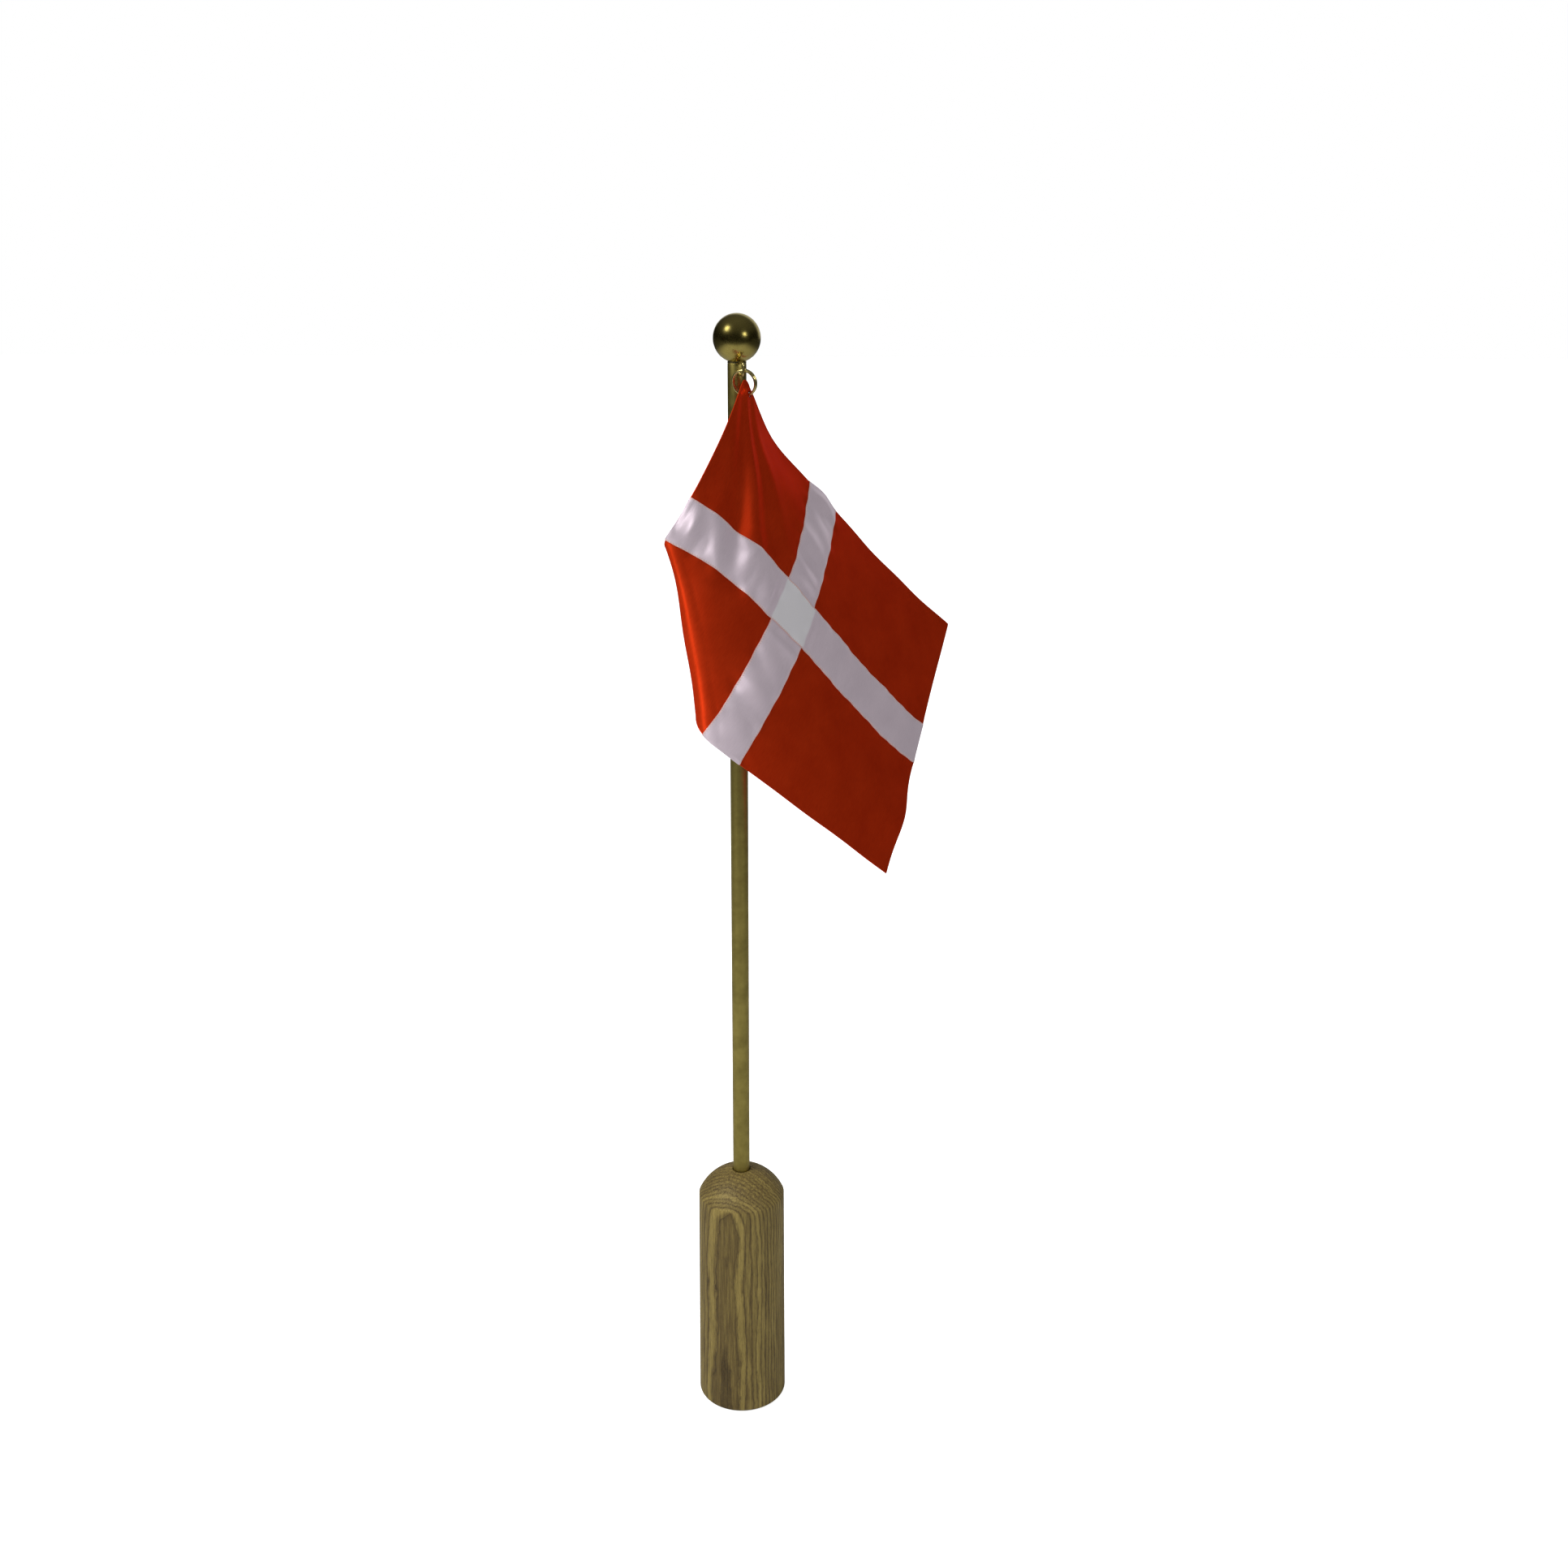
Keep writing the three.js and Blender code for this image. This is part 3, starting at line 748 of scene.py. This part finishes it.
def shell(name, downs, alongs, front, back, material, replaces, is_open=None, long_edges=None):
    """A thin closed sheet over a grid of the flat flag. front and back give each face's lift."""
    rows, columns = len(downs), len(alongs)
    down, along = (grid.ravel() for grid in np.meshgrid(downs, alongs, indexing="ij"))
    points = np.vstack([hung(down, along, face(down, along)) for face in (front, back)])
    uv = {"cloth": np.vstack([np.c_[along, -down]] * 2)}
    if long_edges is not None:
        uv["edge"] = np.vstack([long_edges(down, along)] * 2)
    count = rows * columns
    solid = np.ones((rows + 1, columns + 1), bool)
    solid[0, :] = solid[-1, :] = solid[:, 0] = solid[:, -1] = False
    if is_open is not None:
        middle_down, middle_along = np.meshgrid(
            (downs[1:] + downs[:-1]) / 2, (alongs[1:] + alongs[:-1]) / 2, indexing="ij",
        )
        solid[1:-1, 1:-1] = ~is_open(middle_down, middle_along)
    faces = []
    for i in range(rows - 1):
        for j in range(columns - 1):
            if not solid[i + 1, j + 1]:
                continue
            a, b = i * columns + j, i * columns + j + 1
            c, d = a + columns, b + columns
            faces += [(a, c, d, b), (a + count, b + count, d + count, c + count)]
            for near, far, beyond in (
                (a, c, solid[i + 1, j]), (c, d, solid[i + 2, j + 1]),
                (d, b, solid[i + 1, j + 2]), (b, a, solid[i, j + 1]),
            ):
                if not beyond:
                    faces.append((far, near, near + count, far + count))
    used = np.unique(np.concatenate([np.array(f) for f in faces]))
    renumber = np.full(2 * count, -1)
    renumber[used] = np.arange(len(used))
    faces = [tuple(renumber[list(f)]) for f in faces]
    uv = {key: pairs[used] for key, pairs in uv.items()}
    return add_piece(name, points[used], faces, material, "flag", replaces, uv, sharp=60)


# Level and upright directions of the hung flag, in the flat sheet (down, along).
LEVEL = np.array([-1, 1]) / math.sqrt(2)
UPRIGHT = np.array([1, 1]) / math.sqrt(2)


def ring_hole():
    """The middle of the hole that the ring's coils pass through, and half its width and height."""
    down, along = (grid.ravel() for grid in np.meshgrid(np.linspace(0.5, 9, 86), np.linspace(0.5, 9, 86)))
    sheet = smooth_sheet(down, along)
    crossings = []
    for place in ring_path(801):
        gaps = np.linalg.norm(sheet - place, axis=1)
        if gaps.min() < 0.14:
            crossings.append((down[gaps.argmin()], along[gaps.argmin()]))
    crossings = np.array(crossings)
    level, upright = crossings @ LEVEL, crossings @ UPRIGHT
    middle = (level.max() + level.min()) / 2 * LEVEL + (upright.max() + upright.min()) / 2 * UPRIGHT
    play = 0.25
    return middle, np.ptp(level) / 2 + RING_WIRE + play, np.ptp(upright) / 2 + RING_WIRE + play


(HOLE_DOWN, HOLE_ALONG), HOLE_WIDE, HOLE_HIGH = ring_hole()


def hole_distance(down, along):
    """Below one inside the oval hole, whose long way lies level when the flag hangs."""
    place = np.stack([down - HOLE_DOWN, along - HOLE_ALONG], axis=-1)
    return np.hypot(place @ LEVEL / HOLE_WIDE, place @ UPRIGHT / HOLE_HIGH)


def build_field():
    """The red satin with its pierced corner."""
    step = 0.8
    fine = 0.2
    corner = 10.0
    downs = np.r_[lines_between(0, corner, fine)[:-1], lines_between(corner, HOIST, step)]
    alongs = np.r_[lines_between(0, corner, fine)[:-1], lines_between(corner, FLY, step)]
    shell(
        "red_field", downs, alongs,
        lambda d, a: np.full(len(d), CLOTH / 2), lambda d, a: np.full(len(d), -CLOTH / 2),
        RED_SATIN, ["flag_field"],
        lambda d, a: hole_distance(d, a) < 1,
    )


def ribbon_lift(down, along, side, layer, top):
    """Lift of a ribbon's face: over the cloth, over the hem, and over the other ribbon."""
    edge = np.minimum(np.minimum(down, HOIST - down), np.minimum(along, FLY - along))
    lift = CLOTH / 2 + 0.02 + 0.12 * np.exp(-((np.maximum(edge, 0) / 0.7) ** 2))
    across, run = (down, along) if layer == "long" else (along, down)
    if layer == "long":
        lift = lift + (TAPE + 0.05) * between(run, CANTON - 0.8, SEAM + 0.8, 0.6)
    across = (across - CANTON) / RIBBON
    crown = np.clip(4 * across * (1 - across), 0, 1) * smooth_step(0, 5, edge)
    crown = crown * (1 - between(run, CANTON - 2, SEAM + 2, 3)) * (1 - 0.6 * smooth_step(60, 95, run))
    blister = 0.55 + 0.50 * np.sin(run / 3.1 + 1.5 * across) + 0.28 * np.sin(run / 1.8 - 2.2 * across + 1.0)
    lift = lift + crown * np.maximum(blister, 0.0)
    if top:
        lift = lift + TAPE
    return side * lift


def edge_map(down, along, layer):
    """Distance from the nearer long edge of a ribbon, and how far it lies over the other ribbon."""
    across, run = (down, along) if layer == "long" else (along, down)
    doubled = between(run, CANTON, SEAM, 0.6)
    return np.c_[np.minimum(across - CANTON, SEAM - across), doubled * (layer == "long")]


def build_ribbons():
    step = 0.7
    wrap = 0.45
    seam_lines = np.array([0, 0.3, 0.6, 0.9])
    middle = lines_between(CANTON + 1.5, SEAM - 1.5, step)
    across = np.r_[CANTON + seam_lines, middle, SEAM - seam_lines[::-1]]
    for side, face in ((1, "front"), (-1, "back")):
        def outer(layer, side=side):
            return lambda d, a: ribbon_lift(d, a, side, layer, True)

        def inner(layer, side=side):
            return lambda d, a: ribbon_lift(d, a, side, layer, False)

        down_run = lines_between(-wrap, HOIST + wrap, step)
        along_run = lines_between(-wrap, FLY + wrap, step)
        for layer, downs, alongs in (("short", down_run, across), ("long", across, along_run)):
            front, back = (outer(layer), inner(layer)) if side > 0 else (inner(layer), outer(layer))
            shell(
                f"{layer}_satin_ribbon_{face}", downs, alongs, front, back,
                WHITE_SATIN, [f"{layer}_ribbon_{face}"],
                long_edges=lambda d, a, layer=layer: edge_map(d, a, layer),
            )


def edge_run():
    """Points round the flag's four edges, in order."""
    step = 0.5
    top = lines_between(0, FLY, step)[:-1]
    fly = lines_between(0, HOIST, step)[:-1]
    down = np.r_[np.zeros(len(top)), fly, np.full(len(top), HOIST), HOIST - fly]
    along = np.r_[top, np.full(len(fly), FLY), FLY - top, np.zeros(len(fly))]
    return hung(down, along, np.zeros(len(down)))


def build_hem():
    """A narrow rolled hem: a closed bead round the edge of the red satin."""
    path = edge_run()
    path = np.vstack([path, path[:1]])
    points, faces = tube(path, 0.2, 8)
    uv = {"cloth": np.c_[points[:, 0], points[:, 2]]}
    add_piece("rolled_hem", points, faces, RED_SATIN, "flag", (), uv)


def spindles(starts, ends, radius, sides=6):
    """Points and faces of many short, pointed threads."""
    starts, ends = np.asarray(starts), np.asarray(ends)
    axis = unit(ends - starts)
    side = unit(np.cross(axis, [0.2, 0.5, 0.84]))
    other = np.cross(axis, side)
    turns = np.arange(sides) * 2 * np.pi / sides
    stations = ((0.12, 0.7), (0.5, 1.0), (0.88, 0.7))
    parts = [starts[:, None, :]]
    for share, width in stations:
        centre = starts + (ends - starts) * share
        spread = side[:, None, :] * np.cos(turns)[None, :, None]
        spread = spread + other[:, None, :] * np.sin(turns)[None, :, None]
        parts.append(centre[:, None, :] + spread * radius * width)
    parts.append(ends[:, None, :])
    points = np.concatenate(parts, axis=1)
    each = points.shape[1]
    pattern = []
    for i in range(sides):
        j = (i + 1) % sides
        pattern.append((0, 1 + j, 1 + i))
        for k in range(len(stations) - 1):
            low, high = 1 + k * sides, 1 + (k + 1) * sides
            pattern.append((low + i, low + j, high + j, high + i))
        top = 1 + (len(stations) - 1) * sides
        pattern.append((top + i, top + j, each - 1))
    faces = [tuple(n * each + i for i in f) for n in range(len(starts)) for f in pattern]
    return points.reshape(-1, 3), faces


def build_stitches():
    """Small slanting stitches over the edges of the ribbons, front and back."""
    pitch = 0.85
    inside, outside = 0.7, 0.06
    for side, face in ((1, "front"), (-1, "back")):
        starts, ends = [], []
        for layer, length in (("long", FLY), ("short", HOIST)):
            run = np.arange(0.6, length - 0.6, pitch)
            if layer == "short":
                run = run[(run < CANTON - 0.6) | (run > SEAM + 0.6)]
            for seam, inward in ((CANTON, 1), (SEAM, -1)):
                across_in = np.full(len(run), seam + inward * inside)
                across_out = np.full(len(run), seam - inward * outside)
                slanted = run + 0.35
                if layer == "long":
                    d_in, a_in, d_out, a_out = across_in, run, across_out, slanted
                else:
                    d_in, a_in, d_out, a_out = run, across_in, slanted, across_out
                starts.append(hung(d_in, a_in, ribbon_lift(d_in, a_in, side, layer, True) + side * 0.03))
                ends.append(hung(d_out, a_out, np.full(len(run), side * (CLOTH / 2 + 0.05))))
        points, faces = spindles(np.vstack(starts), np.vstack(ends), 0.14)
        add_piece(f"ribbon_stitches_{face}", points, faces, RIBBON_THREAD, "flag", ())


def build_eyelet():
    """A buttonholed hole: thread wound over the edge, all the way round."""
    count = 44
    angle = np.linspace(0, 2 * np.pi, count, endpoint=False)
    away = np.outer(HOLE_WIDE * np.cos(angle), LEVEL) + np.outer(HOLE_HIGH * np.sin(angle), UPRIGHT)
    down, along = HOLE_DOWN + away[:, 0], HOLE_ALONG + away[:, 1]
    centre = hung(down, along, np.zeros(count))
    _, to_fly, to_bottom, normal = sheet_frame(down, along)
    outward = unit(to_bottom * away[:, :1] + to_fly * away[:, 1:])
    radius, thread = 0.22, 0.08
    starts, ends = [], []
    winds = np.linspace(0, 2 * np.pi, 7)
    for low, high in zip(winds[:-1], winds[1:]):
        starts.append(centre + radius * (math.cos(low) * outward + math.sin(low) * normal))
        ends.append(centre + radius * (math.cos(high) * outward + math.sin(high) * normal))
    points, faces = spindles(np.vstack(starts), np.vstack(ends), thread)
    core_points, core_faces = tube(np.vstack([centre, centre[:1]]), radius - 0.06, 8)
    faces = faces + [tuple(len(points) + i for i in f) for f in core_faces]
    add_piece("sewn_eyelet", np.vstack([points, core_points]), faces, RED_THREAD, "flag", ())


# ------------------------------------------------------------------ stage, light and camera


def colour_ramp(nodes, links, fac, stops):
    """A colour ramp in a world's node tree."""
    made = nodes.new("ShaderNodeValToRGB")
    elements = made.color_ramp.elements
    while len(elements) < len(stops):
        elements.new(1.0)
    for element, (where, value) in zip(elements, stops):
        element.position = where
        element.color = grey(value)
    links.new(fac, made.inputs["Fac"])
    return made.outputs["Color"]


def build_floor():
    """A white table. In reflections it shows a painted reflection: light round the base, and painted shade
    far in front and to the sides.

    To the camera it glows white, a little less close to the base, where the lamps add to it.
    """
    bpy.ops.mesh.primitive_plane_add(size=30, location=(0, 0, -0.0002))
    floor = bpy.context.object
    floor.name = "floor"
    s = Shader("white_table")
    ray = s.node("LightPath")
    place = s.node("TexCoord").outputs["Object"]
    distance = s.node("VectorMath", {0: place}, operation="LENGTH").outputs["Value"]
    split = s.node("SeparateXYZ", {"Vector": place}).outputs
    # Painted reflection: to glossy rays the floor is painted light round the base and painted dark far in
    # front and to the sides.
    near_front = s.ramp(s.math("ADD", split["Y"], 1.0), [(0.30, grey(0.02)), (0.46, grey(0.42))])
    near_middle = s.ramp(s.math("ABSOLUTE", split["X"]), [(0.35, grey(1.0)), (0.85, grey(0.12))])
    painted_reflection_shade = s.math("MULTIPLY", near_front, near_middle)
    s.set(Base_Color=s.mix(ray.outputs["Is Glossy Ray"], grey(0.80), painted_reflection_shade), Roughness=0.9)
    s.set(Specular_IOR_Level=0.1, Emission_Color=grey(1.0))
    glow = s.ramp(distance, [(0.04, grey(0.74)), (0.30, grey(1.0))])
    s.set(Emission_Strength=s.math("MULTIPLY", ray.outputs["Is Camera Ray"], glow))
    floor.data.materials.append(s.material)


def build_room():
    """White to the camera, even and soft as light, and in reflections a dim room with a white back wall."""
    world = bpy.data.worlds.new("studio")
    bpy.context.scene.world = world
    world.use_nodes = True
    nodes, links = world.node_tree.nodes, world.node_tree.links
    background = nodes["Background"]
    split = nodes.new("ShaderNodeSeparateXYZ")
    place = nodes.new("ShaderNodeTexCoord")
    links.new(place.outputs["Generated"], split.inputs[0])
    heights = [(0.0, 0.005), (0.22, 0.005), (0.45, 0.035), (1.0, 0.10)]
    room = colour_ramp(nodes, links, split.outputs["Z"], heights)
    toward_wall = nodes.new("ShaderNodeVectorMath")
    toward_wall.operation = "DOT_PRODUCT"
    links.new(place.outputs["Generated"], toward_wall.inputs[0])
    toward_wall.inputs[1].default_value = (0.22, 0.965, 0.14)
    wall = colour_ramp(nodes, links, toward_wall.outputs["Value"], [(0.76, 0.0), (0.90, 0.55)])
    metal = nodes.new("ShaderNodeMix")
    metal.data_type = "RGBA"
    metal.blend_type = "LIGHTEN"
    metal.inputs[0].default_value = 1.0
    links.new(room, metal.inputs[6])
    links.new(wall, metal.inputs[7])
    ray = nodes.new("ShaderNodeLightPath")
    soft = nodes.new("ShaderNodeMix")
    soft.data_type = "RGBA"
    links.new(ray.outputs["Is Glossy Ray"], soft.inputs[0])
    soft.inputs[6].default_value = grey(0.50)
    links.new(metal.outputs[2], soft.inputs[7])
    seen = nodes.new("ShaderNodeMix")
    seen.data_type = "RGBA"
    links.new(ray.outputs["Is Camera Ray"], seen.inputs[0])
    links.new(soft.outputs[2], seen.inputs[6])
    seen.inputs[7].default_value = grey(1.0)
    links.new(seen.outputs[2], background.inputs["Color"])


def add_softbox(name, place, aim, width, height, power, only=(), spare=()):
    """An area light. It lights every piece, or those named in only, or all but those in spare."""
    light = bpy.data.lights.new(name, "AREA")
    light.shape = "RECTANGLE"
    light.size, light.size_y = width, height
    light.energy = power
    lamp = bpy.data.objects.new(name, light)
    bpy.context.scene.collection.objects.link(lamp)
    lamp.location = place
    lamp.rotation_euler = (Vector(aim) - Vector(place)).to_track_quat("-Z", "Y").to_euler()
    if only or spare:
        receivers = bpy.data.collections.new(name + "_receivers")
        for piece in only or spare:
            receivers.objects.link(bpy.data.objects[piece])
        for linked in receivers.collection_objects:
            linked.light_linking.link_state = "INCLUDE" if only else "EXCLUDE"
        lamp.light_linking.receiver_collection = receivers


def build_lights():
    """A key from the left and a fill from the right. The ball and the red cloth have lamps of their own."""
    ball = ["polished_ball"]
    red_cloth = ["red_field", "rolled_hem"]
    left, left_aim = (-0.79, -0.49, 1.15), (0, 0, 0.25)
    right, right_aim = (0.69, -0.79, 0.71), (0, 0, 0.28)
    add_softbox("key", left, left_aim, 0.42, 0.42, 15, spare=ball)
    add_softbox("fill", right, right_aim, 0.22, 0.22, 2.3, spare=ball + red_cloth)
    add_softbox("ball_key", left, left_aim, 0.34, 0.34, 1.7, only=ball)
    add_softbox("ball_fill", right, right_aim, 0.22, 0.22, 0.60, only=ball)
    add_softbox("cloth_fill", right, right_aim, 0.22, 0.22, 1.0, only=red_cloth)
    add_softbox("strip", (-0.76, -0.56, 0.20), (0, -0.04, 0.28), 0.40, 0.50, 1.9, only=red_cloth)


def add_camera():
    """The photo's viewpoint, fitted to its outlines: level with the ball, half a metre away."""
    camera = bpy.data.cameras.new("camera")
    camera.lens = 35.9
    camera.sensor_width = 36
    view = bpy.data.objects.new("camera", camera)
    bpy.context.scene.collection.objects.link(view)
    down = math.radians(16.70)
    roll = math.radians(0.169)
    turn = Matrix.Rotation(math.pi / 2 - down, 4, "X") @ Matrix.Rotation(roll, 4, "Z")
    view.matrix_world = Matrix.Translation((0.0151, -0.5059, 0.3908)) @ turn
    bpy.context.scene.camera = view


build_base()
build_felt()
finish_hidden_nodes()
build_pole()
build_ball()
build_hanger()
build_ring()
build_field()
build_ribbons()
build_hem()
build_stitches()
build_eyelet()
build_floor()
build_room()
build_lights()
add_camera()

bpy.context.scene.view_settings.view_transform = "Standard"
